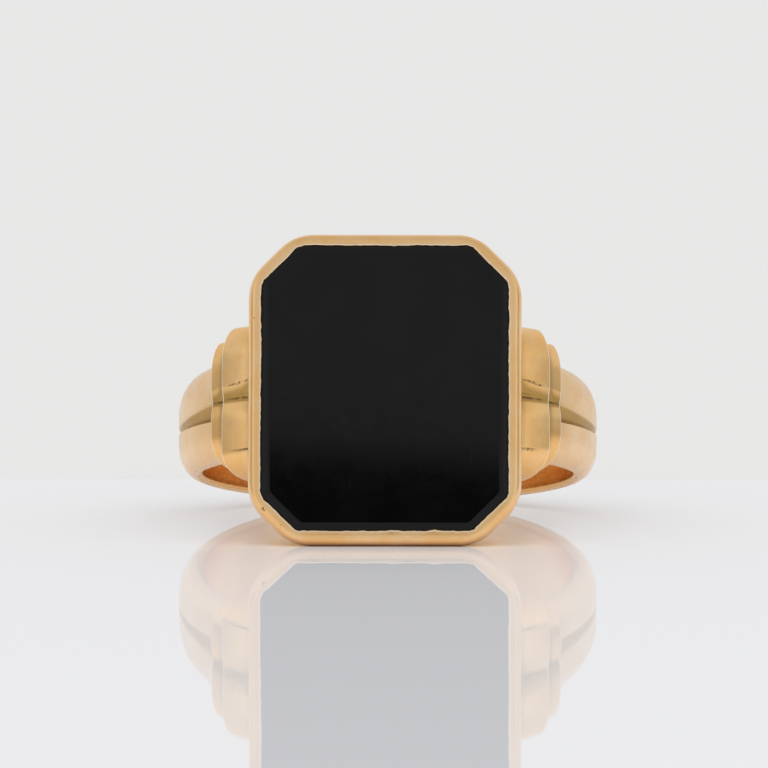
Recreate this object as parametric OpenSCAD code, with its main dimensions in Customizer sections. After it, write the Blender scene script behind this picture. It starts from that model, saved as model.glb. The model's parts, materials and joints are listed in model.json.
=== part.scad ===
// Signet ring: a grooved shank, two stepped shoulders and an eight-sided head that holds a flat black stone.
// The ring lies as on a table, on the lower edge of its head and the lower edge of the back of its shank.
// The origin is the centre of the finger hole, Z is up, and the stone faces -Y, tipped upwards by rest_tilt.
// Sizes are in millimetres.

/* [Finger hole] */
// Diameter of the finger hole
finger_d = 18; // [17.5:0.25:18.5]

/* [Shank] */
// Width of the shank half way round each side
shank_w = 4.6; // [4:0.1:5]
// Thickness of the shank
shank_t = 1.15; // [1.1:0.05:1.5]
// Radius of the shank's outer edges
shank_edge_r = 1; // [0.7:0.1:1.1]
// Angle by which each half of the shank leans out towards the head
shank_splay = 2.2; // [1.2:0.1:2.6]
// Depth of the shank's groove half way round each side
groove_depth = 0.1; // [0.06:0.01:0.16]

/* [Shoulders] */
// Width of the outer step
outer_step_w = 6; // [5.6:0.1:6.4]
// Width of the inner step
inner_step_w = 7.2; // [6.9:0.1:7.5]
// Height of the outer step above the shank
outer_step_rise = 0.85; // [0.7:0.05:1]
// Height of the inner step above the outer step
inner_step_rise = 0.54; // [0.46:0.02:0.7]
// Angle from the middle of the head to the end of the outer step
outer_step_end = 50.4; // [48:0.2:52]
// Angle from the middle of the head to the end of the inner step
inner_step_end = 43.4; // [41.5:0.1:44]

/* [Head] */
// Width of the head across the finger
head_w = 13.1; // [12.9:0.1:13.4]
// Length of the head along the finger
head_h = 15.1; // [14.8:0.1:15.3]
// Length cut from each side at the head's corners
head_cut = 2.15; // [2:0.05:2.4]
// Distance from the finger hole's axis to the flat top of the stone
head_top = 12.15; // [12.1:0.05:12.6]
// Thickness of the stone
stone_t = 1.42; // [1.2:0.02:1.5]

/* [Hidden] */
$fn = 96;

gold = [0.87, 0.64, 0.38];
black = [0.05, 0.05, 0.05];

finger_r = finger_d / 2;
shank_crest = finger_r + shank_t;
outer_crest = shank_crest + outer_step_rise;
inner_crest = outer_crest + inner_step_rise;
// Radius of the rounded edges of each step
outer_edge_r = 1.1;
inner_edge_r = 1.5;
// How much each section draws in on each side towards the finger hole. The steps spread instead.
shank_waist = 0.15;
outer_waist = -0.15;
inner_waist = -0.3;
// How far a section reaches inside the finger hole before the hole is cut
inner_allowance = 0.5;

// The groove's floor is a circle that is off centre, so the groove fades out towards the back of the shank
groove_shift = 0.55;
// Height of the groove's floor, and how far its wide upper wall and its steep lower wall spread
// for each millimetre of depth
groove_floor = -0.4;
groove_spread_up = 2;
groove_spread_down = 0.3;
// Half width of the V groove on the steps for each millimetre of its depth, and its depth at each end
flute_spread = 2;
flute_deep = 0.4;
flute_shallow = 0.05;
flute_start = 30;
// Where the inner step begins, out of sight behind the head
inner_step_start = 28;

// Heights in the head, measured from the finger hole's axis
stone_bottom = head_top - stone_t;
stone_girdle_top = head_top - 0.2;
stone_girdle_bottom = head_top - 0.97;
belt_high = head_top - 0.68;
belt_low = head_top - 0.85;
bezel_bottom = head_top - 2.45;
base_bottom = finger_r - 1.1;
bearing_bottom = stone_bottom - 0.6;
rim_top = head_top - 0.05;
lip_edge = rim_top - 0.06;

// Insets from the head's outline
bezel_wall = 0.5;
rim_round = 0.5;
lip_inset = 0.64;
table_inset = 0.98;
stone_gap = 0.02;
seat_gap = 0.01;
bearing_gap = 0.04;
bezel_taper = 24;
bezel_bottom_inset = (belt_low - bezel_bottom) * tan(bezel_taper);
stone_back_inset = 0.95;
bearing_inset = 1.4;

// Corner radius of the head's outline, how much it shrinks for each millimetre of inset, the smallest
// that is left, and the steps that each corner takes
head_corner_r = 2.3;
corner_sharpening = 2.2;
least_corner_r = 0.3;
corner_steps = 4;

// The saddle under the head, and the window in it that leaves the stone's back open
saddle_half = [4.4, 4];
saddle_cut = 0.9;
saddle_corner_r = 0.44;
window_half = [3.3, 4.3];
window_cut = 1.2;

// The ring tips until the shank's back edge and the head's lower edge reach the same plane
edge_centre = [shank_crest - shank_edge_r, shank_w / 2 - shank_edge_r];
edge_back = edge_centre[0] * cos(shank_splay) + edge_centre[1] * sin(shank_splay);
edge_half_w = edge_centre[1] * cos(shank_splay) - edge_centre[0] * sin(shank_splay);
edge_drop = head_h / 2 - edge_half_w;
edge_span = belt_low + edge_back;
rest_tilt = atan(edge_drop / edge_span) - asin(shank_edge_r / norm([edge_drop, edge_span]));

big = 60;

// ---- helpers ----

// Lays the ring down, from a frame whose Z is the finger hole's axis
module lie() rotate([-rest_tilt, 0, 0]) children();

// Turns a flat outline and its extrusion so that the height runs out through the head
module head_side() rotate([90, 0, 0]) children();

// Point at a radius and an angle from the middle of the head
function at(r, angle) = [r * sin(angle), -r * cos(angle)];

// Part of a turned solid between two angles from the middle of the head
module turned(from, to) rotate([0, 0, from - 90]) rotate_extrude(angle = to - from) children();

module finger_hole() cylinder(r = finger_r, h = big, center = true);

// Half of a rounded section, from a little below the middle plane to its edge
module half_section(half_w, crest, edge_r, waist, below) {
    inside = finger_r - inner_allowance;
    widest = crest - edge_r;
    translate([inside, -below]) square([crest - inside, half_w - edge_r + below]);
    polygon([[inside, -below], [widest, -below], [widest, half_w], [inside, half_w - waist]]);
    translate([widest, half_w - edge_r]) circle(r = edge_r);
}

module full_section(half_w, crest, edge_r, waist) {
    half_section(half_w, crest, edge_r, waist, 0);
    mirror([0, 1]) half_section(half_w, crest, edge_r, waist, 0);
}

// A straight V groove in the middle plane, between two points of its floor
module flute(floor_from, floor_to) {
    run = floor_to - floor_from;
    over = 1.5;
    translate([floor_from[0], floor_from[1], 0])
        rotate([0, 0, atan2(run[1], run[0])])
        translate([-over, 0, 0])
        rotate([90, 0, 90])
        linear_extrude(norm(run) + 2 * over)
        polygon([[0, 0], [-over, flute_spread * over], [-over, -flute_spread * over]]);
}

// Outline with eight sides: half sizes, length cut at the corners and corner radius
function eight_sides(half, cut, r) = [
    for (k = [0:7])
        let (
            corner = [
                [half[0], cut - half[1]], [half[0], half[1] - cut],
                [half[0] - cut, half[1]], [cut - half[0], half[1]],
                [-half[0], half[1] - cut], [-half[0], cut - half[1]],
                [cut - half[0], -half[1]], [half[0] - cut, -half[1]]
            ][k],
            middle = 45 * k - 22.5,
            centre = corner - r / cos(22.5) * [cos(middle), sin(middle)]
        )
        for (s = [0:corner_steps])
            let (a = middle - 22.5 + 45 * s / corner_steps)
            centre + r * [cos(a), sin(a)]
];

// The head's outline, moved inwards by an inset
function head_outline(inset) = eight_sides(
    [head_w / 2 - inset, head_h / 2 - inset],
    head_cut - inset * (2 - sqrt(2)),
    max(head_corner_r - corner_sharpening * inset, least_corner_r));

function raise(outline, z) = [for (p = outline) [p[0], p[1], z]];

// Triangles between one loop of n points and the next
function band(n, low, high) = [
    for (i = [0:n - 1])
        let (j = (i + 1) % n)
        for (f = [[low + j, low + i, high + j], [high + j, low + i, high + i]])
        f
];

// Solid through a stack of outlines, each given as [outline, height]
module stack(layers) {
    n = len(layers[0][0]);
    top = len(layers) - 1;
    polyhedron(
        points = [for (layer = layers) each raise(layer[0], layer[1])],
        faces = concat(
            [[for (i = [0:n - 1]) i]],
            [for (k = [0:top - 1]) each band(n, k * n, (k + 1) * n)],
            [[for (i = [n - 1:-1:0]) top * n + i]]));
}

// Closed frame that carries a section, given as [inset, height] points, round the head's outline
module frame(section) {
    n = len(head_outline(0));
    m = len(section);
    polyhedron(
        points = [for (s = section) each raise(head_outline(s[0]), s[1])],
        faces = [for (k = [0:m - 1]) each band(n, k * n, ((k + 1) % m) * n)]);
}

saddle_foot = [eight_sides(saddle_half, saddle_cut, saddle_corner_r), base_bottom];
saddle_top = [head_outline(bezel_bottom_inset), bezel_bottom];

// The head's outer shape as one block, which the shoulders are cut to fit
module head_block() head_side() stack([
    saddle_foot,
    saddle_top,
    [head_outline(0), belt_low],
    [head_outline(0), head_top]]);

// ---- pieces ----

// One half of the shank, above the middle plane, leaning out towards the head
module shank_half() intersection() {
    rotate([-shank_splay, 0, 0])
        rotate_extrude()
        half_section(shank_w / 2, shank_crest, shank_edge_r, shank_waist, 1);
    translate([-big / 2, -big / 2, 0]) cube([big, big, big / 2]);
}

// The groove round the outside of the shank
module shank_groove() translate([0, groove_shift, groove_floor]) rotate_extrude() {
    floor_r = shank_crest - groove_depth;
    over = 1;
    polygon([
        [floor_r, 0],
        [floor_r + over, groove_spread_up * over],
        [floor_r + over, -groove_spread_down * over]]);
}

module shank() color(gold) lie() difference() {
    union() {
        shank_half();
        mirror([0, 0, 1]) shank_half();
    }
    finger_hole();
    shank_groove();
    linear_extrude(big, center = true)
        polygon([[0, 0], at(big, -outer_step_end), at(big * 2, 0), at(big, outer_step_end)]);
}

// The step next to the shank, on the right
module outer_step() difference() {
    turned(inner_step_end, outer_step_end)
        full_section(outer_step_w / 2, outer_crest, outer_edge_r, outer_waist);
    finger_hole();
    flute(at(outer_crest - flute_deep, inner_step_end), at(outer_crest - flute_shallow, outer_step_end));
}

// The step next to the head, on the right, cut to fit against the head
module inner_step() difference() {
    turned(inner_step_start, inner_step_end)
        full_section(inner_step_w / 2, inner_crest, inner_edge_r, inner_waist);
    finger_hole();
    flute(at(inner_crest - flute_deep, flute_start), at(inner_crest - flute_shallow, inner_step_end));
    head_block();
}

module right_outer_step() color(gold) lie() outer_step();
module left_outer_step() color(gold) lie() mirror([1, 0, 0]) outer_step();
module right_inner_step() color(gold) lie() inner_step();
module left_inner_step() color(gold) lie() mirror([1, 0, 0]) inner_step();

// Saddle that closes the bottom of the bezel and carries on the finger hole, with a window behind the stone
module head_base() color(gold) lie() difference() {
    head_side() stack([saddle_foot, saddle_top]);
    finger_hole();
    head_side() linear_extrude(big) polygon(eight_sides(window_half, window_cut, saddle_corner_r));
}

// Tapered wall with a rounded rim, whose lip is pressed over the stone's bevel
module bezel() color(gold) lie() head_side() frame(concat(
    [[bezel_bottom_inset, bezel_bottom], [0, belt_low]],
    [for (a = [0:22.5:90]) [rim_round * (1 - cos(a)), belt_high + (rim_top - belt_high) * sin(a)]],
    [
        [lip_inset, lip_edge],
        [bezel_wall, stone_girdle_top + seat_gap],
        [bezel_wall, stone_girdle_bottom],
        [bezel_bottom_inset + bezel_wall, bezel_bottom]
    ]));

// Ledge inside the bezel that the stone rests on
module bearing() {
    taper = tan(bezel_taper);
    against_wall = bezel_wall + bearing_gap;
    color(gold) lie() head_side() frame([
        [against_wall + (belt_low - bearing_bottom) * taper, bearing_bottom],
        [against_wall + (belt_low - stone_bottom) * taper, stone_bottom - seat_gap],
        [bearing_inset, stone_bottom - seat_gap],
        [bearing_inset, bearing_bottom]]);
}

// Flat stone, bevelled at its top and its back
module onyx() color(black) lie() head_side() stack([
    [head_outline(stone_back_inset), stone_bottom],
    [head_outline(bezel_wall + stone_gap), stone_girdle_bottom],
    [head_outline(bezel_wall + stone_gap), stone_girdle_top],
    [head_outline(table_inset), head_top]]);

shank();
left_outer_step();
left_inner_step();
right_outer_step();
right_inner_step();
head_base();
bezel();
bearing();
onyx();
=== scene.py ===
"""Looks for a gold signet ring with a flat black stone, lying on a glossy white table."""

import json
import math

import bmesh
import bpy
import numpy as np
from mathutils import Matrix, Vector, noise


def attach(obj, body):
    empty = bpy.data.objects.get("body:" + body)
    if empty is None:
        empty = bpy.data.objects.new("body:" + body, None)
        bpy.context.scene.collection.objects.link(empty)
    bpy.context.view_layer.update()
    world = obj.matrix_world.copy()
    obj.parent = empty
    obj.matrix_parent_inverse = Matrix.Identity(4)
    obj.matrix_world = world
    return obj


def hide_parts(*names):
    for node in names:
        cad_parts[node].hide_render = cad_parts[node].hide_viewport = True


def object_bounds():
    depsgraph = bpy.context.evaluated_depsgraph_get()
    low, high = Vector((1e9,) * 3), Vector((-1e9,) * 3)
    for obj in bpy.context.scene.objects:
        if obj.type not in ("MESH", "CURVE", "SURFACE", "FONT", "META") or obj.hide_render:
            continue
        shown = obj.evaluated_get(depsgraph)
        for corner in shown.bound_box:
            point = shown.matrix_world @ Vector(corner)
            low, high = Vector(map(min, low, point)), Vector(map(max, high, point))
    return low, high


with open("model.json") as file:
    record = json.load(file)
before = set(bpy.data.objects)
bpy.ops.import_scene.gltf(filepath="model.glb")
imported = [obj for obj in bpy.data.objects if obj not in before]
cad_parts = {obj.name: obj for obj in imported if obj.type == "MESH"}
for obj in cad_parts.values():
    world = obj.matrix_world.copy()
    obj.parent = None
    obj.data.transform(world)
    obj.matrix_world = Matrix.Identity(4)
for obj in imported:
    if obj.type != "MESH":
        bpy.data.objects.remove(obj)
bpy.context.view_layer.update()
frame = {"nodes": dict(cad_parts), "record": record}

MM = 0.001
SIDES = {"left": -1, "right": 1}

# ---------------------------------------------------------------- the ring's own directions

mounts = {m["name"]: m for m in frame["record"]["mounts"]}
AXIS = Vector(mounts["finger_hole"]["axis"]).normalized()
OUT = Vector(mounts["stone_face"]["axis"]).normalized()
# A point in ring coordinates is (across, out through the head, along the finger), in millimetres
RING = np.array([(1, 0, 0), tuple(OUT), tuple(AXIS)])


def to_row(points):
    """Ring coordinates in millimetres to the row frame in metres."""
    return np.asarray(points, float) @ RING * MM


def node_points(node):
    """Every vertex of a CAD node, in ring coordinates."""
    co = np.array([tuple(v.co) for v in frame["nodes"][node].data.vertices])
    return co @ RING.T / MM


def reach(node):
    """Largest size of a CAD node across, outwards and along the finger."""
    return np.abs(node_points(node)).max(0)


def crest(node):
    """Largest distance of a CAD node from the finger hole's axis."""
    points = node_points(node)
    return float(np.hypot(points[:, 0], points[:, 1]).max())


def end_angle(node):
    """Angle in degrees from the middle of the head to the far end of a step."""
    points = node_points(node)
    return float(np.degrees(np.arctan2(np.abs(points[:, 0]), points[:, 1])).max())


def step_sizes(node):
    """A step's distance from the finger hole's axis, half width and end angle."""
    return {"crest": crest(node), "half": reach(node)[2], "end": end_angle(node)}


def half_width_at_back(node, crest_size):
    """Largest size of a CAD node along the finger, opposite the head."""
    points = node_points(node)
    return float(np.abs(points[points[:, 1] < -0.9 * crest_size][:, 2]).max())


FINGER_R = mounts["finger_hole"]["dims"]["r_mm"]
OUTER = step_sizes("right_outer_step")
INNER = step_sizes("right_inner_step")
SHANK_CREST = crest("shank")
SHANK_HALF = float(np.abs(node_points("shank")[:, 2]).max())
SHANK_BACK_HALF = half_width_at_back("shank", SHANK_CREST)
SHOULDER_COS = math.cos(math.radians(OUTER["end"]))
HEAD = reach("bezel")
HEAD_BACK = float(node_points("bezel")[:, 1].min())
RIM_TOP = float(node_points("bezel")[:, 1].max())
# Where the bezel's upright side ends and its back slopes in
BELT = float(node_points("bezel")[np.abs(node_points("bezel")[:, 0]) > HEAD[0] - 0.002][:, 1].min())
STONE = reach("onyx")
STONE_TOP = STONE[1]
STONE_BACK = float(node_points("onyx")[:, 1].min())
# Turns a texture so that its Z runs along the finger
TILT_BACK = (math.asin(OUT.z), 0.0, 0.0)


# ---------------------------------------------------------------- mesh building


def smooth_noise(p, size, seed=0.0):
    """Noise from about -1 to 1 at a point in millimetres, with lumps about size wide."""
    return noise.noise(Vector((p[0] / size + seed, p[1] / size - seed, p[2] / size + 3.1 * seed)))


def build(name, rings, closed, caps=(False, False), marks=None):
    """A mesh through a list of rings of points in ring coordinates, each ring closed on itself.

    closed joins the last ring to the first. caps fills the first and the last ring. marks holds
    a value for each point, by name, for the materials.
    """
    rings = np.asarray(rings, float)
    n, m = rings.shape[:2]
    points = to_row(rings.reshape(-1, 3))
    faces = []
    for i in range(n if closed else n - 1):
        a, b = i * m, (i + 1) % n * m
        for j in range(m):
            k = (j + 1) % m
            faces.append((a + j, a + k, b + k, b + j))
    if caps[0]:
        faces.append(tuple(range(m))[::-1])
    if caps[1]:
        faces.append(tuple((n - 1) * m + j for j in range(m)))
    mesh = bpy.data.meshes.new(name)
    mesh.from_pydata(points.tolist(), [], faces)
    for key, values in (marks or {}).items():
        layer = mesh.attributes.new(key, "FLOAT", "POINT")
        layer.data.foreach_set("value", np.asarray(values, np.float32).reshape(-1))
    bm = bmesh.new()
    bm.from_mesh(mesh)
    bmesh.ops.recalc_face_normals(bm, faces=bm.faces)
    bm.to_mesh(mesh)
    bm.free()
    mesh.shade_smooth()
    mesh.update()
    obj = bpy.data.objects.new(name, mesh)
    bpy.context.scene.collection.objects.link(obj)
    return obj


def piece(obj, material, slot, *nodes):
    """Gives a finished piece its material, and makes it stand for its CAD nodes."""
    obj.data.materials.clear()
    obj.data.materials.append(material)
    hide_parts(*nodes)
    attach(obj, "root")
    return obj


def soft_clip(x, k):
    """x where it is positive and 0 where it isn't, rounded over about k."""
    return 0.5 * (x + np.sqrt(x * x + k * k))


# ---------------------------------------------------------------- sections round the finger


class Edge:
    """How one side of a band's section falls away from its middle, in millimetres.

    The outside reaches half from the middle. Its last stretch, corner long, rounds down by drop.
    From there the side runs to the finger hole and spreads by flare on the way.
    """

    def __init__(self, half, corner, drop, flare):
        self.half, self.corner, self.drop, self.flare = half, corner, drop, flare


# A groove's floor is rounded a little: the square added under the root, and what brings the floor back to 0
FLOOR_SQUARE = 0.004
FLOOR_LIFT = 0.063


def groove(a, up, low, centre, soft_up, soft_low):
    """Shape of a V groove at each place a along the finger, 1 at its floor.

    up and low are its half widths, and soft_up and soft_low round its upper and lower edge.
    """
    u = np.where(a > centre, (a - centre) / up, (centre - a) / low)
    u = np.sqrt(u * u + FLOOR_SQUARE) - FLOOR_LIFT
    soft = np.where(a > centre, soft_up, soft_low)
    return np.minimum(soft_clip(1 - u, soft), 1.0)


# Points along each part of half a section
MIDDLE_POINTS = 90
CORNER_POINTS = 17
SIDE_POINTS = 8
FOOT_POINTS = 5
BORE_POINTS = 8
# The painted reflection on a rounded corner's side starts at this fall and is full after the second length
SIDE_FALL, SIDE_FADE = 0.5, 0.8


def after_start(first, last, count):
    """Evenly spaced numbers after first, up to and including last."""
    return np.linspace(first, last, count + 1)[1:]


def half_outline(edge, sign, top, dome, depth, shape, inner_edge, wall):
    """Half of a section, from the middle of its outside to the middle of its inside.

    With it come two marks for each point: the groove's shape there, and how much painted
    reflection it carries as part of the inside of the ring, which is wall on the side.
    """
    middle = np.linspace(0, 1, MIDDLE_POINTS) ** 1.1 * (edge.half - edge.corner)
    turn = after_start(0, math.pi / 2, CORNER_POINTS)
    a = np.concatenate([middle, edge.half - edge.corner * (1 - np.sin(turn))])
    over = np.clip((a - edge.half + edge.corner) / edge.corner, 0, 1)
    grooved = shape(sign * a)
    fall = edge.drop * (1 - np.sqrt(1 - over**2))
    r = top - dome * (a / edge.half) ** 2 - fall - depth * grooved
    down = after_start(0, 1, SIDE_POINTS)
    foot = FINGER_R + inner_edge
    side = np.stack([r[-1] + (foot - r[-1]) * down, edge.half + edge.flare * down**1.15], 1)
    turn = after_start(0, math.pi / 2, FOOT_POINTS)
    base = edge.half + edge.flare
    corner_out = foot - inner_edge * np.sin(turn)
    corner_along = base - inner_edge * (1 - np.cos(turn))
    inner = np.stack([corner_out, corner_along], 1)
    bore = np.stack([np.full(BORE_POINTS, FINGER_R), after_start(base - inner_edge, 0, BORE_POINTS)], 1)
    outline = np.concatenate([np.stack([r, a], 1), side, inner, bore])
    outline[:, 1] *= sign
    recess = np.zeros(len(outline))
    recess[: len(a)] = grooved
    inside = np.ones(len(outline))
    inside[: len(a)] = wall * np.clip((fall - SIDE_FALL) / SIDE_FADE, 0, 1)
    inside[len(a) : len(a) + len(side)] = wall
    return outline, recess, inside


def section(up, low, top, dome, depth, shape, inner_edge, wall=0.0):
    """Closed outline of a band's section, with its two marks.

    A point of it is (distance from the axis, place along the finger). up and low are its two
    edges, and depth times shape(a) is how deep the groove is at a place along the finger.
    """
    one = half_outline(up, 1, top, dome, depth, shape, inner_edge, wall)
    two = half_outline(low, -1, top, dome, depth, shape, inner_edge, wall)
    return [np.concatenate([a, b[::-1][1:-1]]) for a, b in zip(one, two)]


def inward(outline, distance):
    """A closed outline moved inwards by a distance."""
    before, after = np.roll(outline, 1, 0), np.roll(outline, -1, 0)
    along = after - before
    along /= np.linalg.norm(along, axis=1, keepdims=True) + 1e-12
    normal = np.stack([along[:, 1], -along[:, 0]], 1)
    area = 0.5 * np.sum(outline[:, 0] * after[:, 1] - after[:, 0] * outline[:, 1])
    return outline - np.sign(area) * normal * distance


def sweep(outline, angle):
    """An outline placed at an angle in degrees from the middle of the head."""
    t = math.radians(angle)
    r, a = outline[:, 0], outline[:, 1]
    return np.stack([r * math.sin(t), r * math.cos(t), a], 1)


# Wear starts this far outside the finger hole, and is full after the second length
WEAR_START, WEAR_FADE = 0.3, 0.5


def wear(rings, size, height, seed):
    """Moves each point in or out by a little noise, as hand finishing and years of wear do."""
    rings = np.asarray(rings, float)
    flat = rings.reshape(-1, 3)
    r = np.hypot(flat[:, 0], flat[:, 1])
    outer = np.clip((r - FINGER_R - WEAR_START) / WEAR_FADE, 0, 1)
    for i, p in enumerate(flat):
        coarse = smooth_noise(p, size, seed)
        fine = smooth_noise(p, size * 0.4, seed + 7)
        flat[i, :2] *= 1 + height * (coarse + 0.3 * fine) * outer[i] / r[i]
    return flat.reshape(rings.shape)


# ---------------------------------------------------------------- pieces

# The shank's two edges, without their half widths: corner, drop and flare
SHANK_UP = (1.55, 0.95, -0.10)
SHANK_LOW = (1.35, 0.85, -0.10)
# Its groove half way round the ring, how that changes towards the back, and what it gains towards the head
SHANK_GROOVE_DEPTH = (0.22, 0.12, 0.62)
SHANK_GROOVE_WIDTH = (0.26, 0.10, 1.55)
# The lower half width of the groove, and how it rounds off on its upper and its lower edge
SHANK_GROOVE_LOW = 0.09
SHANK_GROOVE_SOFT = (0.09, 0.04)
# How far the shank reaches under the outer step, in degrees
SHANK_UNDER_STEP = 0.6


def graded(values, toward):
    """A value at a place round the ring, where toward is 1 at the head, 0 half way round and -1 at the back."""
    half_way, back, head = values
    return half_way + back * min(toward, 0.0) + head * max(toward, 0.0) ** 2


def shank_at(angle):
    """The shank's section at an angle from the middle of the head, with its marks."""
    toward = math.cos(math.radians(angle))
    half = SHANK_BACK_HALF + (SHANK_HALF - SHANK_BACK_HALF) * (1 + toward) / (1 + SHOULDER_COS)
    width = graded(SHANK_GROOVE_WIDTH, toward)
    floor = -0.22 - 0.44 * max(toward, 0.0)

    def shape(a):
        return groove(a, width, SHANK_GROOVE_LOW, floor, *SHANK_GROOVE_SOFT)

    return section(
        Edge(half, *SHANK_UP), Edge(half, *SHANK_LOW), SHANK_CREST - 0.04, 0.08,
        graded(SHANK_GROOVE_DEPTH, toward), shape, 0.14,
    )


def gaussian_band(a, where, width):
    """1 where a is at a place, fading to 0 over about a width on both sides."""
    return np.exp(-(((a - where) / width) ** 2))


def make_shank(gold):
    """The band, from one shoulder round the back to the other."""
    start = OUTER["end"] - SHANK_UNDER_STEP
    rings, recess, inside, dirt = [], [], [], []
    for angle in np.linspace(start, 360 - start, 361):
        outline, grooved, inner = shank_at(angle)
        rings.append(sweep(outline, angle))
        # tarnish and painted shade in the groove, fading towards the back, and painted shade in the groove
        # beside the step
        toward = max(math.cos(math.radians(angle)), 0.0)
        beside_step = math.radians(min(angle, 360 - angle) - OUTER["end"]) * SHANK_CREST
        recess.append(np.sqrt(grooved) * (0.35 + 0.65 * toward**0.5))
        # painted shade in the groove where the shank meets the outer step
        dirt.append(0.9 * np.sqrt(grooved) * gaussian_band(beside_step, 0.0, 0.16))
        inside.append(inner)
    rings = wear(rings, 2.6, 0.010, 1.7)
    marks = {"recess": recess, "inside": inside, "dirt": dirt}
    obj = build("shank_band", rings, False, (True, True), marks)
    return piece(obj, gold, "gold", "shank")


# A place along the finger that is far from any mark
FAR = 9.0

# The two edges of each step, the upper one and the one nearer the table. Left and right differ a little.
STEP_EDGES = {
    "left_outer": (Edge(3.14, 1.60, 0.62, 0.10), Edge(3.00, 1.50, 1.30, 0.05)),
    "left_inner": (Edge(3.69, 1.65, 1.02, 0.28), Edge(3.70, 1.20, 1.85, 0.0)),
    "right_outer": (Edge(3.10, 1.55, 0.64, 0.10), Edge(3.04, 1.75, 1.55, 0.05)),
    "right_inner": (Edge(3.66, 1.80, 1.05, 0.30), Edge(3.66, 1.45, 1.95, 0.0)),
}


# Radius of a step's far edge, and how much further in its end face reaches
FILLET = 0.07
END_INSET = 0.05
# Where the lower smudge lies on an inner step
LOWER_SMUDGE = -2.52
# Where an inner step starts, under the bezel, and how far an outer one reaches under it, in degrees
INNER_START = 29.5
OUTER_UNDER_INNER = 1.0
# How far from the ring's middle the inner step ends
INNER_END_ACROSS = INNER["crest"] * math.sin(math.radians(INNER["end"]))


def step_stations(start, size):
    """Angle, inset and painted highlight of each section of a step, from its start round its far edge."""
    end = size["end"]
    arc = math.degrees(FILLET / size["crest"])
    stations = [(angle, 0.0, 0.0) for angle in np.linspace(start, end, 60) if angle < end - arc]
    for t in np.linspace(0, math.pi / 2, 6):
        stations.append((end - arc * (1 - math.sin(t)), FILLET * (1 - math.cos(t)), 1.0))
    stations.append((end, FILLET + END_INSET, 0.3))
    return stations


def inner_smudges(a, angle, along, sign, floor, width):
    """Dark marks on an inner step: a line just above the groove's floor, strongest by the bezel, and a dirt
    smudge above and below the groove.
    """
    wave = 0.04 * smooth_noise((angle, sign, 0.0), 1.5, 8.0)
    line = max(0.0, 1 - 1.2 * along) ** 0.5 * gaussian_band(a, floor + 0.17, 0.035)
    upper = 1.3 * gaussian_band(along, 0.62, 0.22) * gaussian_band(a, floor + width - 0.02 + wave, 0.06)
    lower = 1.2 * gaussian_band(along, 0.52, 0.26) * gaussian_band(a, LOWER_SMUDGE + wave, 0.06)
    return line + upper + lower


def make_step(side, name, size, start, groove_at, gold):
    """One step of a shoulder, from start to its end angle, with a softened far edge."""
    sign = SIDES[side]
    up, low = STEP_EDGES[f"{side}_{name}"]
    rings, marks = [], {"recess": [], "inside": [], "edge": [], "dirt": []}
    for angle, inset, painted_highlight in step_stations(start, size):
        along = (angle - start) / (size["end"] - start)
        depth, width, floor, shape = groove_at(along)
        # the last number, 0.6, is the painted reflection on the step's sides
        outline, grooved, inner = section(up, low, size["crest"], 0.07, depth, shape, 0.2, 0.6)
        a = np.where(inner > 0.5, FAR, outline[:, 1])
        across = size["crest"] * math.sin(math.radians(angle))
        # painted shade along the groove's floor, tarnish and painted shade in the groove, and painted shade
        # beside the next piece in
        # painted shade along the groove's floor, strongest at the head
        dirt = 1.4 * max(0.0, 1 - along) ** 0.5 * gaussian_band(a, floor, 0.07)
        # tarnish and painted shade in the groove, strongest on its upper wall, which faces down
        tarnish_and_shade_mark = grooved * np.clip((a - floor + 0.30) / 0.25, 0.25, 1) * (0.75 - 0.30 * along)
        if name == "inner":
            dirt = dirt + inner_smudges(a, angle, along, sign, floor, width)
            # painted shade on the inner step beside the bezel
            tarnish_and_shade_mark = tarnish_and_shade_mark + 0.17 * gaussian_band(across, HEAD[0], 0.25)
        else:
            # painted shade on the outer step beside the inner step's end
            tarnish_and_shade_mark = tarnish_and_shade_mark + 0.22 * gaussian_band(across, INNER_END_ACROSS, 0.16)
        if inset:
            outline = inward(outline, inset)
        rings.append(sweep(outline, sign * angle))
        marks["recess"].append(tarnish_and_shade_mark)
        marks["inside"].append(inner)
        # painted highlight on the fillet of the step's far edge, fainter on its end face
        marks["edge"].append(np.full(len(grooved), painted_highlight))
        marks["dirt"].append(np.minimum(dirt, 1.0))
    rings = wear(rings, 1.8, 0.012, 4.3 + sign)
    obj = build(f"{side}_{name}", rings, False, (True, True), marks)
    return piece(obj, gold, "gold", f"{side}_{name}_step")


def inner_groove(along):
    """The groove on an inner step, from the head (0) to its end (1).

    Returns its depth, its upper half width, the place of its floor, and its shape.
    """
    width = 0.98 - 0.40 * along
    floor = 0.10 - 0.07 * along
    return 0.42 - 0.32 * along, width, floor, lambda a: groove(a, width, 0.80, floor, 0.12, 0.30)


def outer_groove(along):
    """The same on an outer step."""
    width = 0.75 - 0.20 * along
    floor = 0.10
    return 0.26 - 0.16 * along, width, floor, lambda a: groove(a, width, 0.70, floor, 0.18, 0.30)


# The head's outline has eight sides. Its corners are cut at 45 degrees, by a little less at the lower end.
LOWER_CUT = 2.07
UPPER_CUT = 2.17
# The corners' radius on the outside, how much it shrinks for each millimetre inwards, and the least it gets
CORNER_R = 2.3
SHARPENING = 2.7
LEAST_R = 0.06
# Distance between points along a side, and points round each corner
POINT_GAP = 0.06
ARC_POINTS = 16
# One side's turn to the next, in degrees
EIGHTH = 45


def outline_point_counts():
    """Points along each side, the same at every inset so that neighbouring outlines join."""
    slant = UPPER_CUT * math.sqrt(2)
    lengths = (2 * (HEAD[2] - UPPER_CUT), slant, 2 * (HEAD[0] - UPPER_CUT), slant)
    return [max(8, int(length / POINT_GAP)) for length in lengths] * 2


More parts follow.
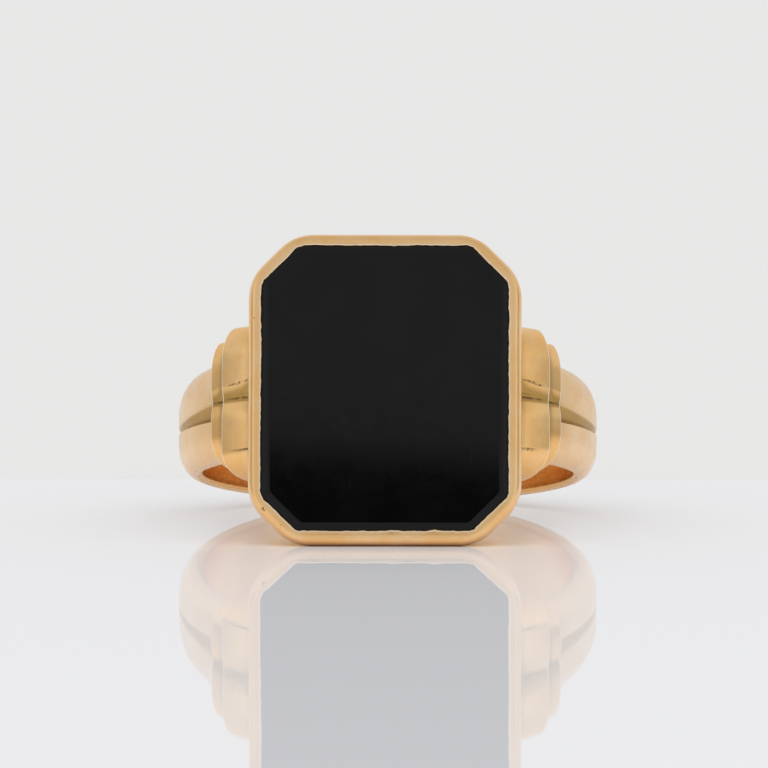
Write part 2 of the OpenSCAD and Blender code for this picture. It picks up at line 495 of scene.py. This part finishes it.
def head_outline(inset, corner_r=None):
    """Points round the head's outline moved inwards by inset, with the outward direction at each."""
    hx, ha = HEAD[0] - inset, HEAD[2] - inset
    high, low = (cut - inset * (2 - math.sqrt(2)) for cut in (UPPER_CUT, LOWER_CUT))
    corners = [
        (hx, low - ha), (hx, ha - high), (hx - high, ha), (high - hx, ha),
        (-hx, ha - high), (-hx, low - ha), (low - hx, -ha), (hx - low, -ha),
    ]
    r = max(CORNER_R - SHARPENING * inset, LEAST_R) if corner_r is None else corner_r
    reach_in = r / math.cos(math.radians(EIGHTH / 2))
    centres = []
    for k, corner in enumerate(corners):
        middle = math.radians(EIGHTH * (k - 0.5))
        centres.append(np.array(corner) - reach_in * np.array([math.cos(middle), math.sin(middle)]))
    points, normals = [], []
    for k, count in enumerate(outline_point_counts()):
        for s in range(ARC_POINTS + 1):
            t = math.radians(EIGHTH * (k - 1 + s / ARC_POINTS))
            n = np.array([math.cos(t), math.sin(t)])
            points.append(centres[k] + r * n)
            normals.append(n)
        begin, finish = points[-1], centres[(k + 1) % 8] + r * n
        for s in range(1, count):
            points.append(begin + (finish - begin) * s / count)
            normals.append(n)
    return np.array(points), np.array(normals)


def arc_length(points):
    """How far along a closed line each of its points lies, and the line's whole length."""
    gaps = np.linalg.norm(np.roll(points, -1, 0) - points, axis=1)
    return np.concatenate([[0], np.cumsum(gaps)[:-1]]), gaps.sum()


def round_noise(where, total, size, seed):
    """Noise along a closed line, which joins up with itself."""
    turn = 2 * math.pi * where / total
    radius = total / (2 * math.pi * size)
    x, y = radius * np.cos(turn) + seed, radius * np.sin(turn)
    return np.array([noise.noise(Vector((a, b, seed * 0.7))) for a, b in zip(x, y)])


# Thickness of the bezel's wall, and how far in its lip reaches over the stone
WALL = 0.5
LIP = 0.62
# Slope of the bezel's back, in degrees from upright
BACK_SLOPE = 24


def bezel_section():
    """Rows round the bezel's section, from its back up the outside and down the inside.

    A row is its inset, its height, how far it follows the lip's wander, and how much painted highlight it
    carries.
    """
    foot = (BELT - HEAD_BACK) * math.tan(math.radians(BACK_SLOPE))
    half_way = (BELT + HEAD_BACK) / 2
    rows = [(foot, HEAD_BACK, 0, 0), (foot * 0.5, half_way, 0, 0), (0.02, BELT - 0.04, 0, 0)]
    # the rounded rim
    for t in np.linspace(0, math.pi / 2, 20):
        inset = 0.45 * (1 - math.cos(t)) ** 1.3
        height = BELT + 0.03 + (RIM_TOP - BELT - 0.045) * math.sin(t)
        rows.append((inset, height, 0.3 * (t / 1.57) ** 3, 0))
    # the burnished lip with a painted highlight along its crest, and the hidden inside
    rows += [
        (0.490, RIM_TOP - 0.008, 0.5, 0),
        (0.525, RIM_TOP - 0.003, 0.7, 0.2),
        (0.550, RIM_TOP, 0.85, 0.9),
        (0.572, RIM_TOP - 0.006, 0.95, 0.6),
        (0.595, RIM_TOP - 0.012, 1.0, 0.1),
        (LIP - 0.010, RIM_TOP - 0.022, 1.0, 1),
        (LIP + 0.002, RIM_TOP - 0.046, 1.0, 1),
        (LIP + 0.008, RIM_TOP - 0.085, 1.0, 1),
        (LIP + 0.005, RIM_TOP - 0.12, 1.0, 0.4),
        (LIP - 0.02, RIM_TOP - 0.17, 0.8, 0),
        (WALL, RIM_TOP - 0.22, 0.2, 0),
        (WALL, BELT - 0.05, 0, 0),
        (WALL + foot * 0.5, half_way, 0, 0),
        (WALL + foot, HEAD_BACK, 0, 0),
    ]
    return rows


# Small pits in the rim: place across, place along the finger and radius
PITS = [(-5.82, -5.86, 0.08), (-5.74, -5.93, 0.06), (-4.95, -6.65, 0.035), (-6.28, 3.4, 0.04)]
# A burr on the lower lip, where the metal was pushed over the stone
BURR_AT, BURR_WIDTH = 2.35, 0.28


def make_bezel(gold):
    """The collet, with an uneven burnished lip that carries a painted highlight, dents and pits."""
    base, _ = head_outline(0.3)
    where, total = arc_length(base)
    slow = round_noise(where, total, 1.5, 2.3)
    mid = round_noise(where, total, 0.55, 9.1)
    fast = round_noise(where, total, 0.20, 5.7)
    nick = np.clip(round_noise(where, total, 0.9, 14.2) - 0.25, 0, 1)
    burr = np.where(base[:, 1] < 0, gaussian_band(base[:, 0], BURR_AT, BURR_WIDTH), 0.0)
    # how far the lip wanders outwards at each point, and the rest of the rim
    wander = 0.028 * slow + 0.030 * mid + 0.026 * fast - 0.08 * nick
    wander = wander - burr * (0.05 + 0.10 * np.abs(fast))
    dent = 0.012 * round_noise(where, total, 2.4, 21.0) + 0.004 * round_noise(where, total, 0.8, 27.0)
    rings, edge, dirt = [], [], []
    for inset, height, follow, painted_highlight in bezel_section():
        points, normals = head_outline(inset)
        keep_in = min(1.0, inset / 0.05)
        shift = follow * wander + keep_in * (1 - follow) * dent
        points = points + normals * shift[:, None]
        pitted = np.zeros(len(points))
        if 0.05 < inset < WALL and height > BELT:
            for across, along, radius in PITS:
                away = np.hypot(points[:, 0] - across, points[:, 1] - along)
                pitted = np.maximum(pitted, np.exp(-((away / radius) ** 4)))
        lift = -0.010 * follow * np.abs(mid) - 0.035 * pitted
        rings.append(np.stack([points[:, 0], np.full(len(points), height) + lift, points[:, 1]], 1))
        edge.append(np.full(len(points), painted_highlight))
        dirt.append(pitted)
    obj = build("bezel_collet", rings, True, marks={"edge": edge, "dirt": dirt})
    return piece(obj, gold, "gold", "bezel")


# The stone's bevel: the inset of its flat top, and how far the bevel drops
TABLE_INSET = 0.98
BEVEL_DROP = 0.2
# Height of the stone's widest part above its back
GIRDLE_HEIGHT = 0.47
# Corner radius of the stone
STONE_CORNER_R = 0.55


def make_onyx(black):
    """The stone, as layers from its narrower back to its flat top."""
    back = node_points("onyx")
    back_inset = HEAD[0] - float(np.abs(back[back[:, 1] < STONE_BACK + 0.01][:, 0]).max())
    girdle = HEAD[0] - STONE[0]
    layers = [
        (back_inset, STONE_BACK),
        (girdle + 0.01, STONE_BACK + GIRDLE_HEIGHT - 0.03),
        (girdle, STONE_BACK + GIRDLE_HEIGHT),
        (girdle, STONE_TOP - BEVEL_DROP - 0.01),
        (girdle + 0.012, STONE_TOP - BEVEL_DROP + 0.005),
        (TABLE_INSET - 0.030, STONE_TOP - 0.0135),
        (TABLE_INSET - 0.010, STONE_TOP - 0.004),
        (TABLE_INSET + 0.012, STONE_TOP),
        (TABLE_INSET + 0.10, STONE_TOP),
        (TABLE_INSET + 1.2, STONE_TOP),
    ]
    rings = []
    for inset, height in layers:
        points, _ = head_outline(inset, STONE_CORNER_R)
        rings.append(np.stack([points[:, 0], np.full(len(points), height), points[:, 1]], 1))
    obj = build("onyx_tablet", rings, False, (True, True))
    return piece(obj, black, "onyx", "onyx")


# ---------------------------------------------------------------- materials

COPPERY = (0.88, 0.49, 0.25)
BRUSHED = (1.0, 0.74, 0.38)
# painted reflection: a deeper gold for the finger hole and the steps' sides
REFLECTED_GOLD = (0.93, 0.54, 0.20)
# painted shade: an olive tarnish colour that also darkens the grooves and the places where pieces meet
TARNISH_AND_SHADE = (0.44, 0.262, 0.070)
# dark brown for dirt in smudges and pits, also used as painted shade along the grooves
DIRT_AND_SHADE = (0.13, 0.075, 0.035)
PITTED = (0.20, 0.10, 0.04)
# painted highlight: a pale, nearly white gold for burnished edges
BURNISHED_HIGHLIGHT = (1.0, 0.91, 0.74)
STONE_SCRATCH = (0.10, 0.10, 0.10)


class Nodes:
    """Short names for building a material's nodes."""

    def __init__(self, name):
        self.material = bpy.data.materials.new(name)
        self.material.use_nodes = True
        self.tree = self.material.node_tree
        self.shader = self.tree.nodes["Principled BSDF"]
        coords = self.add("ShaderNodeTexCoord")
        in_mm = self.add("ShaderNodeMapping", Vector=coords.outputs["Object"])
        in_mm.inputs["Scale"].default_value = (1 / MM, 1 / MM, 1 / MM)
        self.mm = in_mm.outputs[0]

    def add(self, kind, **inputs):
        """A new node, with its inputs set or linked."""
        node = self.tree.nodes.new(kind)
        for key, value in inputs.items():
            self.put(node, key, value)
        return node

    def put(self, node, key, value):
        """Sets an input to a value or links it to a socket. key is its name, or _ and its number."""
        socket = node.inputs[int(key[1:]) if key[0] == "_" else key.replace("_", " ")]
        if isinstance(value, bpy.types.NodeSocket):
            self.tree.links.new(value, socket)
        else:
            socket.default_value = value

    def noise(self, scale, detail=3.0, rough=0.55, stretch=None, turn=(0, 0, 0)):
        """Noise over the object in millimetres, turned and stretched if asked."""
        where = self.mm
        if stretch:
            mapping = self.add("ShaderNodeMapping", Vector=where)
            mapping.inputs["Rotation"].default_value = turn
            mapping.inputs["Scale"].default_value = stretch
            where = mapping.outputs[0]
        node = self.add("ShaderNodeTexNoise", Vector=where, Scale=scale, Detail=detail, Roughness=rough)
        return node.outputs["Fac"]

    def ramp(self, value, low, high, to=(0.0, 1.0)):
        """A smooth change from to[0], where value is low, to to[1], where it is high."""
        node = self.add("ShaderNodeMapRange")
        node.interpolation_type = "SMOOTHSTEP"
        self.put(node, "_0", value)
        for key, number in zip(("_1", "_2", "_3", "_4"), (low, high, to[0], to[1])):
            self.put(node, key, number)
        return node.outputs[0]

    def math(self, operation, a, b):
        node = self.add("ShaderNodeMath")
        node.operation = operation
        self.put(node, "_0", a)
        self.put(node, "_1", b)
        return node.outputs[0]

    def mix(self, factor, a, b):
        """Colour a, with factor of it replaced by colour b."""
        node = self.tree.nodes.new("ShaderNodeMix")
        node.data_type = "RGBA"
        for index, value in ((0, factor), (6, a), (7, b)):
            if isinstance(value, bpy.types.NodeSocket):
                self.tree.links.new(value, node.inputs[index])
            else:
                node.inputs[index].default_value = value if index == 0 else (*value, 1)
        return node.outputs[2]

    def mark(self, name):
        """A value stored on the mesh's points."""
        node = self.add("ShaderNodeAttribute")
        node.attribute_name = name
        return node.outputs["Fac"]

    def bump(self, height, distance, strength=1.0, normal=None):
        node = self.add("ShaderNodeBump", Height=height, Strength=strength, Distance=distance)
        if normal is not None:
            self.put(node, "Normal", normal)
        return node.outputs[0]


def scratches(n, seed, fineness, density, turn):
    """Thin straight scratches in one direction, 0 or 1."""
    lines = n.noise(fineness, 2.0, 0.6, (1.0, 0.035, 0.035), turn)
    gate = n.noise(0.9 + 0.1 * seed, 1.0, 0.5, (1, 1, 1), (seed, 2 * seed, 0))
    line = n.ramp(lines, density, density + 0.05)
    return n.math("MULTIPLY", line, n.ramp(gate, 0.45, 0.6))


def make_gold(name, base, pale, satin, brushing):
    """Worn gold between two shades.

    satin is added to its roughness, and brushing is how much its streaks and scratches show.
    """
    n = Nodes(name)
    blotch = n.ramp(n.noise(0.55, 3.0), 0.35, 0.68)
    colour = n.mix(blotch, base, pale)
    redness = n.ramp(n.noise(1.1, 3.0, 0.5), 0.56, 0.78, (0.0, 0.40))
    colour = n.mix(redness, colour, COPPERY)
    # brushing along the finger leaves paler streaks
    streak = n.ramp(n.noise(7.0, 3.0, 0.6, (1.0, 1.0, 0.10), TILT_BACK), 0.55, 0.75, (0.0, brushing))
    colour = n.mix(streak, colour, BRUSHED)
    # painted reflection: a deeper gold, as gold mirrored in gold, on the inside of the ring and the steps'
    # sides
    colour = n.mix(n.mark("inside"), colour, REFLECTED_GOLD)
    # tarnish and painted shade in the grooves and where pieces meet, dirt in smudges and pits, and painted
    # shade in lines along the grooves
    recess = n.ramp(n.mark("recess"), 0.02, 0.38, (0.0, 0.92))
    colour = n.mix(recess, colour, TARNISH_AND_SHADE)
    gritty = n.ramp(n.noise(4.0, 4.0, 0.65), 0.40, 0.56)
    dirt = n.math("MULTIPLY", n.ramp(n.mark("dirt"), 0.15, 0.75), n.math("ADD", 0.25, gritty))
    colour = n.mix(n.math("MULTIPLY", dirt, 0.65), colour, DIRT_AND_SHADE)
    cells = n.add("ShaderNodeTexVoronoi", Vector=n.mm, Scale=1.2)
    pick = n.ramp(n.noise(1.1, 2.0), 0.60, 0.66)
    pits = n.math("MULTIPLY", n.ramp(cells.outputs["Distance"], 0.03, 0.06, (1.0, 0.0)), pick)
    colour = n.mix(n.math("MULTIPLY", pits, 0.7), colour, PITTED)
    # burnished edges with a painted highlight: a pale colour along the lip and the steps' far edges
    edge = n.mark("edge")
    colour = n.mix(n.math("MULTIPLY", edge, 0.85), colour, BURNISHED_HIGHLIGHT)
    n.put(n.shader, "Base Color", colour)
    n.shader.inputs["Metallic"].default_value = 1.0

    # scratches in three directions
    across = scratches(n, 1.0, 9.0, 0.64, (0.2, 0.1, 1.2))
    slanting = scratches(n, 2.0, 11.0, 0.65, (1.3, 0.4, 0.3))
    upright = scratches(n, 3.0, 14.0, 0.62, (0.1, 1.45, 0.0))
    lines = n.math("MAXIMUM", n.math("MAXIMUM", across, slanting), upright)
    rough = n.ramp(n.noise(1.6, 3.0, 0.55), 0.30, 0.72, (0.17 + satin, 0.26 + satin))
    rough = n.math("ADD", rough, n.math("MULTIPLY", lines, 0.10 * brushing))
    rough = n.math("ADD", rough, n.math("MULTIPLY", recess, 0.12))
    rough = n.math("SUBTRACT", rough, n.math("MULTIPLY", edge, 0.06))
    n.put(n.shader, "Roughness", rough)

    dents = n.noise(1.5, 2.0, 0.5)
    brushed = n.noise(9.0, 3.0, 0.6, (1.0, 1.0, 0.15), TILT_BACK)
    normal = n.bump(dents, 0.000030, 0.30)
    normal = n.bump(brushed, 0.0000024 * brushing, 0.5, normal)
    normal = n.bump(lines, -0.000002 * brushing, 0.3, normal)
    normal = n.bump(pits, -0.00003, 0.8, normal)
    n.put(n.shader, "Normal", normal)
    return n.material


def make_black(name):
    """Polished black stone with a few faint scratches."""
    n = Nodes(name)
    haze = n.ramp(n.noise(0.5, 3.0), 0.3, 0.75)
    colour = n.mix(haze, (0.0016, 0.0017, 0.0017), (0.0026, 0.0027, 0.0028))
    lines = scratches(n, 1.5, 8.0, 0.70, (0.4, 0.2, 0.9))
    colour = n.mix(n.math("MULTIPLY", lines, 0.05), colour, STONE_SCRATCH)
    n.put(n.shader, "Base Color", colour)
    rough = n.ramp(n.noise(1.7, 3.0, 0.6), 0.3, 0.8, (0.02, 0.035))
    n.put(n.shader, "Roughness", n.math("ADD", rough, n.math("MULTIPLY", lines, 0.10)))
    n.shader.inputs["IOR"].default_value = 1.53
    n.shader.inputs["Specular IOR Level"].default_value = 0.20
    return n.material


def make_table_top(name):
    """Glossy white acrylic."""
    n = Nodes(name)
    colour = n.mix(n.noise(0.02, 2.0), (0.882, 0.889, 0.928), (0.892, 0.899, 0.938))
    n.put(n.shader, "Base Color", colour)
    rough = n.ramp(n.noise(0.05, 2.0), 0.3, 0.7, (0.012, 0.03))
    n.put(n.shader, "Roughness", rough)
    n.shader.inputs["IOR"].default_value = 1.11
    return n.material


def make_paper(name):
    """Matte white paper."""
    n = Nodes(name)
    colour = n.mix(n.noise(0.02, 2.0), (0.80, 0.80, 0.80), (0.81, 0.81, 0.81))
    n.put(n.shader, "Base Color", colour)
    n.shader.inputs["Roughness"].default_value = 0.9
    n.shader.inputs["Specular IOR Level"].default_value = 0.0
    return n.material


# ---------------------------------------------------------------- stage, light and camera

# The camera's direction from the ring, its distance and the point it looks at
AZIMUTH, ELEVATION, DISTANCE = math.radians(-0.75), math.radians(5.245), 0.800
AIM = Vector((-0.19 * MM, 0, 2.28 * MM))
AWAY = Vector((
    -math.sin(AZIMUTH) * math.cos(ELEVATION),
    -math.cos(AZIMUTH) * math.cos(ELEVATION),
    math.sin(ELEVATION),
))


def mirrored_height(along):
    """Height of the direction that the stone mirrors towards the camera, at a place along the finger."""
    place = Vector(to_row((0, STONE_TOP, along)).tolist())
    ray = (place - (AIM + DISTANCE * AWAY)).normalized()
    return ray.reflect(OUT).z


# The card's upper edge is seen in the stone between these two places, a little out of level
CARD_TOP = (mirrored_height(-4.6), mirrored_height(-3.0))
CARD_LEAN = 0.05
# How far behind the ring's centre the glossy table top ends, and half the size of the whole floor
TABLE_END = 19.9 * MM
FLOOR_HALF = 2.0


def make_plane(name, near, far, z, material):
    """A wide level plane between two distances behind the ring's centre."""
    w = FLOOR_HALF
    mesh = bpy.data.meshes.new(name)
    mesh.from_pydata([(-w, near, z), (w, near, z), (w, far, z), (-w, far, z)], [], [(0, 1, 2, 3)])
    mesh.materials.append(material)
    obj = bpy.data.objects.new(name, mesh)
    bpy.context.scene.collection.objects.link(obj)
    return obj


def make_world():
    """A white light tent with a narrow black card in front. The camera sees plain white instead."""
    world = bpy.data.worlds.new("studio")
    bpy.context.scene.world = world
    world.use_nodes = True
    tree = world.node_tree
    tree.nodes.clear()

    def add(kind, **inputs):
        node = tree.nodes.new(kind)
        for key, value in inputs.items():
            socket = node.inputs[int(key[1:]) if key[0] == "_" else key]
            if isinstance(value, bpy.types.NodeSocket):
                tree.links.new(value, socket)
            else:
                socket.default_value = value
        return node

    def step(value, low, high, a=0.0, b=1.0):
        node = add("ShaderNodeMapRange", _0=value, _1=low, _2=high, _3=a, _4=b)
        node.interpolation_type = "SMOOTHSTEP"
        return node.outputs[0]

    def calc(operation, a, b):
        node = add("ShaderNodeMath", _0=a, _1=b)
        node.operation = operation
        return node.outputs[0]

    direction = add("ShaderNodeTexCoord").outputs["Generated"]
    part = add("ShaderNodeSeparateXYZ", _0=direction)
    x, y, z = part.outputs[0], part.outputs[1], part.outputs[2]
    aside = calc("ABSOLUTE", x, 0.0)
    tent = step(z, 0.60, 0.92, 0.68, 0.62)
    # brighter to both sides in front, dim straight to the sides, and a little brighter behind
    front = step(y, -0.30, 0.10, 1.0, 0.0)
    tent = calc("ADD", tent, calc("MULTIPLY", calc("MULTIPLY", step(aside, 0.62, 0.86), front), 0.19))
    tent = calc("ADD", tent, step(aside, 0.90, 0.98, 0.0, -0.22))
    tent = calc("ADD", tent, step(y, 0.15, 0.60, 0.0, 0.08))
    # a black card in front, whose upper edge the stone mirrors as the dark zone near its lower end
    level = calc("ADD", z, calc("MULTIPLY", x, CARD_LEAN))
    card = calc("MULTIPLY", step(y, -0.80, -0.70, 1.0, 0.0), step(aside, 0.04, 0.09, 1.0, 0.0))
    card = calc("MULTIPLY", card, step(level, CARD_TOP[0], CARD_TOP[1], 1.0, 0.0))
    card = calc("MULTIPLY", card, step(z, 0.20, 0.30))
    light = calc("MULTIPLY", tent, calc("SUBTRACT", 1.0, calc("MULTIPLY", card, 0.95)))
    studio = add("ShaderNodeBackground", Strength=light, Color=(1.0, 0.997, 0.99, 1))
    plain = add("ShaderNodeBackground", Strength=0.795, Color=(0.995, 0.997, 1.0, 1))
    seen = add("ShaderNodeLightPath").outputs["Is Camera Ray"]
    mixed = add("ShaderNodeMixShader", _0=seen, _1=studio.outputs[0], _2=plain.outputs[0])
    add("ShaderNodeOutputWorld", Surface=mixed.outputs[0])


def make_lamp():
    """A wide soft lamp above and in front, which lights the table and isn't itself mirrored."""
    data = bpy.data.lights.new("overhead", "SUN")
    data.energy = 1.18
    data.angle = math.radians(85)
    obj = bpy.data.objects.new("overhead", data)
    obj.rotation_euler = (math.radians(32), 0, 0)
    obj.visible_glossy = False
    bpy.context.scene.collection.objects.link(obj)


def make_camera():
    """Low and far in front, as with a long lens."""
    data = bpy.data.cameras.new("camera")
    data.lens = 771.5
    data.clip_start = 0.01
    obj = bpy.data.objects.new("camera", data)
    obj.location = AIM + DISTANCE * AWAY
    obj.rotation_euler = (-AWAY).to_track_quat("-Z", "Y").to_euler()
    bpy.context.scene.collection.objects.link(obj)
    bpy.context.scene.camera = obj


# ---------------------------------------------------------------- the scene

rim_gold = make_gold("rim_gold", (0.92, 0.56, 0.235), (0.95, 0.63, 0.32), 0.0, 0.15)
step_gold = make_gold("step_gold", (0.95, 0.555, 0.21), (0.98, 0.64, 0.29), 0.0, 0.5)
shank_gold = make_gold("shank_gold", (0.885, 0.58, 0.30), (0.905, 0.655, 0.395), 0.05, 0.0)
black = make_black("onyx")

make_shank(shank_gold)
for side in SIDES:
    make_step(side, "outer", OUTER, INNER["end"] - OUTER_UNDER_INNER, outer_groove, step_gold)
    make_step(side, "inner", INNER, INNER_START, inner_groove, step_gold)
make_bezel(rim_gold)
make_onyx(black)
# The two hidden pieces stay as their CAD nodes
for name in ("head_base", "bearing"):
    hidden = frame["nodes"][name]
    hidden.data.materials.clear()
    hidden.data.materials.append(rim_gold)

# The table is level with the ring's lowest point
lowest = float(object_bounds()[0][2])
make_plane("table_top", -FLOOR_HALF, TABLE_END, lowest, make_table_top("acrylic"))
make_plane("paper", TABLE_END, FLOOR_HALF, lowest, make_paper("paper"))
make_lamp()
make_world()
make_camera()
bpy.context.scene.view_settings.view_transform = "Standard"
